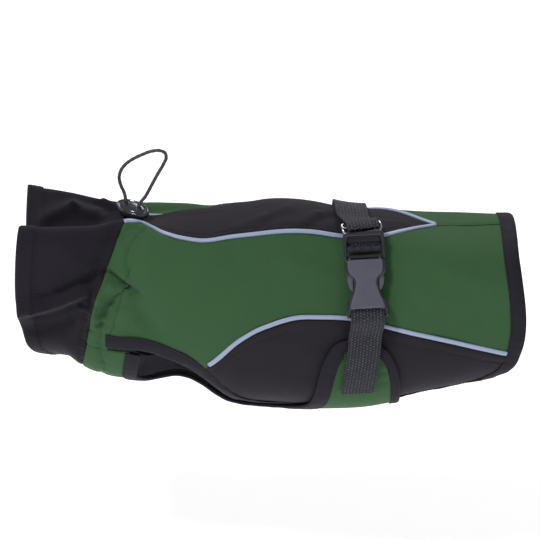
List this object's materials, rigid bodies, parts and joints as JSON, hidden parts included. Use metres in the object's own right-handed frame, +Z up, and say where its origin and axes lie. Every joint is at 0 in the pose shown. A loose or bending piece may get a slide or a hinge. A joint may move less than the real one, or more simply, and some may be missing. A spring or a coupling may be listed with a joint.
{
  "type": "dog softshell coat",
  "caption": "Sleeveless dog coat filled out as worn: tall collar, leaf back panel, green sides, belly flap whose wings are held by a strap and side-release buckle, drawcord loop at the neck",
  "frame": {"origin": "On the inner face of the back panel's cloth at the highest place of the back, on the middle plane, where the coat rests on the wearer's back", "axes": "X along the back, neck towards -X and hem towards +X; Z up; Y across, the wearer's left and the buckle towards -Y"},
  "size_m": [0.3757, 0.13, 0.2073],
  "materials": {
    "green_softshell": "woven softshell face, matt",
    "black_softshell": "woven softshell face, matt",
    "collar_softshell": "woven softshell face, matt",
    "edge_binding": "stretch binding tape, smooth",
    "reflective_piping": "reflective piping, satin",
    "webbing": "woven strap with a coarse cross weave",
    "buckle_plastic": "moulded, fine satin",
    "lock_plastic": "moulded, glossy",
    "slide_metal": "plated wire and plate",
    "elastic_cord": "braided elastic cord"
  },
  "bodies": {
    "root": {"collar_left": "collar_softshell", "collar_right": "collar_softshell", "back_panel": "black_softshell", "side_left": "green_softshell", "side_right": "green_softshell", "lower_left": "black_softshell", "lower_right": "black_softshell", "belly_flap": "green_softshell", "leg_binding_left": "edge_binding", "leg_binding_right": "edge_binding", "hem_binding": "edge_binding", "flap_binding": "edge_binding", "piping_upper_left": "reflective_piping", "piping_upper_right": "reflective_piping", "piping_lower_left": "reflective_piping", "piping_lower_right": "reflective_piping", "back_strap": "webbing", "strap_end": "webbing", "belly_webbing": "webbing", "slide": "slide_metal", "buckle_male": "buckle_plastic", "buckle_female": "buckle_plastic", "cord_lock": "lock_plastic", "drawcord": "elastic_cord"}
  },
  "joints": []
}
